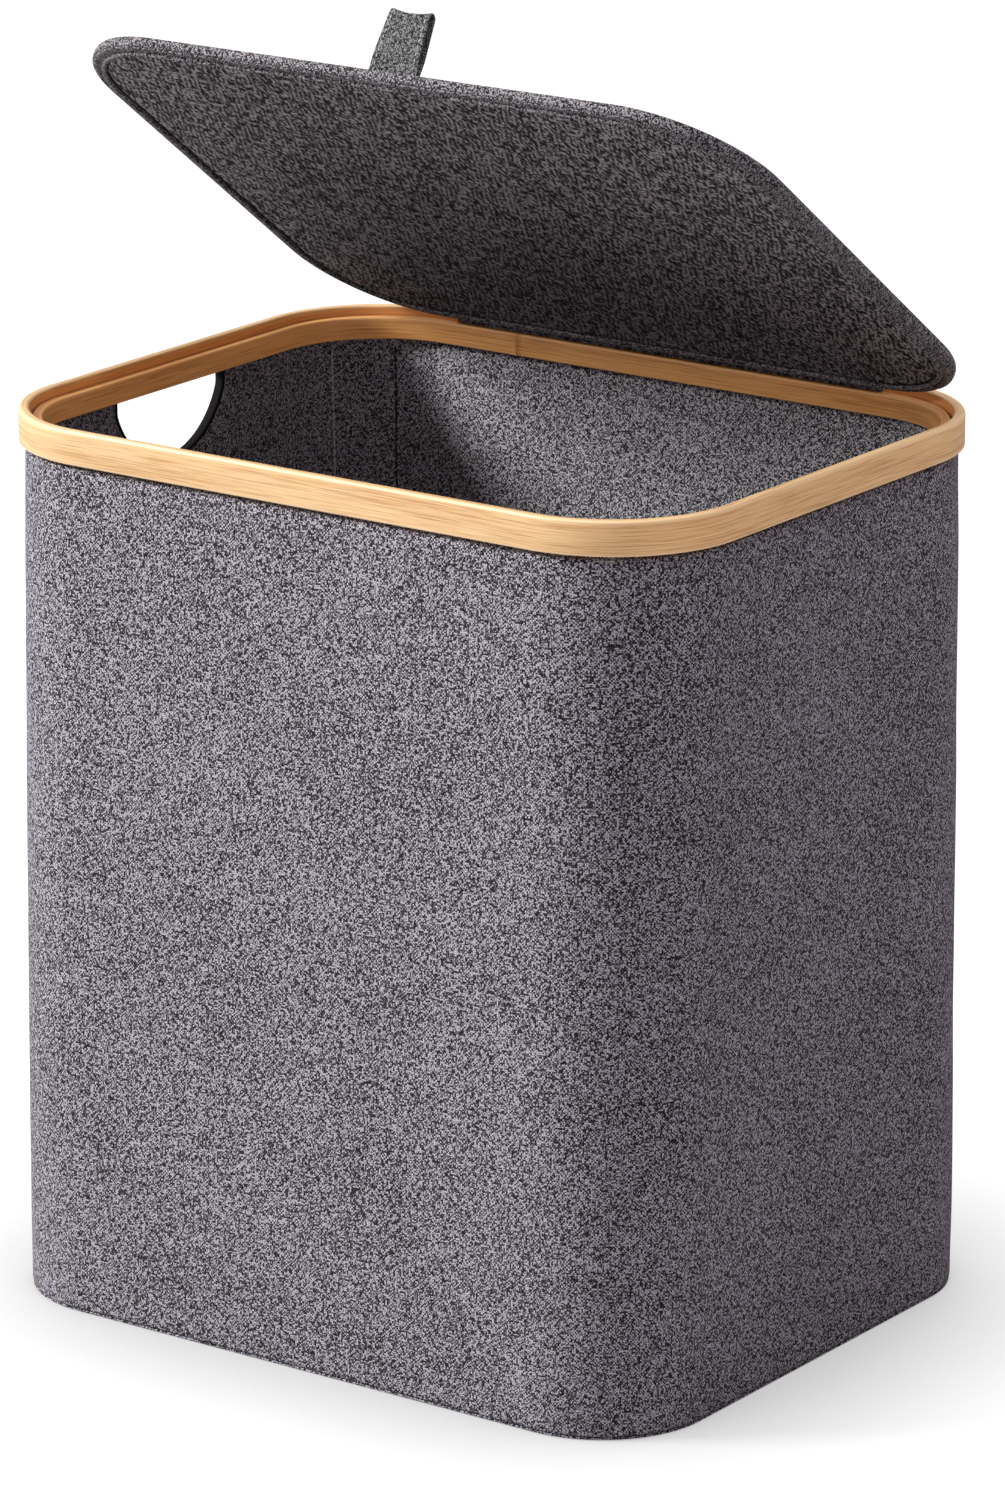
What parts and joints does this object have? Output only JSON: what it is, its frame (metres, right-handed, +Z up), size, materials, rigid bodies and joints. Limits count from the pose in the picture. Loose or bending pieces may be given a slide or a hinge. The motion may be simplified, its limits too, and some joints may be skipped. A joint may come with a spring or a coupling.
{
  "type": "laundry hamper with lid",
  "caption": "Upright laundry hamper with rounded corners: heathered grey fabric walls, bent bamboo rim, D-shaped hand-hole and a fabric-hinged lid with a pull loop.",
  "frame": {"origin": "centre of the outline at floor level, under the middle of the rim", "axes": "+Z up; +X along the long front side, to the right of a person facing the front; +Y towards the rear, where the lid is hinged"},
  "size_m": [0.45, 0.352, 0.7263],
  "materials": {
    "bamboo": "clear satin lacquer over fine straight bamboo grain",
    "grey_fabric": "heathered mid-grey plain-weave polyester",
    "dark_fabric": "heathered dark grey plain-weave polyester",
    "strap": "folded woven strap in the cover's cloth",
    "tape": "dark woven binding tape",
    "stiffener": "plain stiffener sheet, hidden in use",
    "foam": "thin open-cell wadding, hidden in use",
    "brad_steel": "plain steel, hidden in use"
  },
  "bodies": {
    "basket": {"outer_ring": "bamboo", "inner_ring": "bamboo", "ring_brads": "brad_steel", "lid_hinge_strip": "dark_fabric", "wall_cover": "grey_fabric", "wall_lining": "dark_fabric", "front_board": "stiffener", "rear_board": "stiffener", "left_board": "stiffener", "right_board": "stiffener", "grip_tape": "tape", "bottom_cover": "grey_fabric", "bottom_lining": "dark_fabric", "bottom_binding": "tape"},
    "lid": {"lid_binding": "grey_fabric", "lid_board": "stiffener", "lid_foam": "foam", "lid_top_cover": "grey_fabric", "lid_underside": "dark_fabric", "pull_loop_anchor": "strap"},
    "pull_loop": {"pull_loop": "strap"},
    "base_panel": {"base_core": "stiffener", "base_cover": "dark_fabric"}
  },
  "joints": [
    {"name": "lid_hinge", "type": "hinge", "parent": "basket", "child": "lid", "pos_m": [0, 0.168, 0.502], "axis": [-1, 0, 0], "range_deg": [-36.3, 153.7]},
    {"name": "pull_loop_fold", "type": "hinge", "parent": "lid", "child": "pull_loop", "pos_m": [0, -0.08877, 0.69298], "axis": [-1, 0, 0], "range_deg": [-75, 75]},
    {"name": "base_panel_lift", "type": "slide", "parent": "basket", "child": "base_panel", "axis": [0, 0, 1], "range_m": [0, 0.47]}
  ]
}
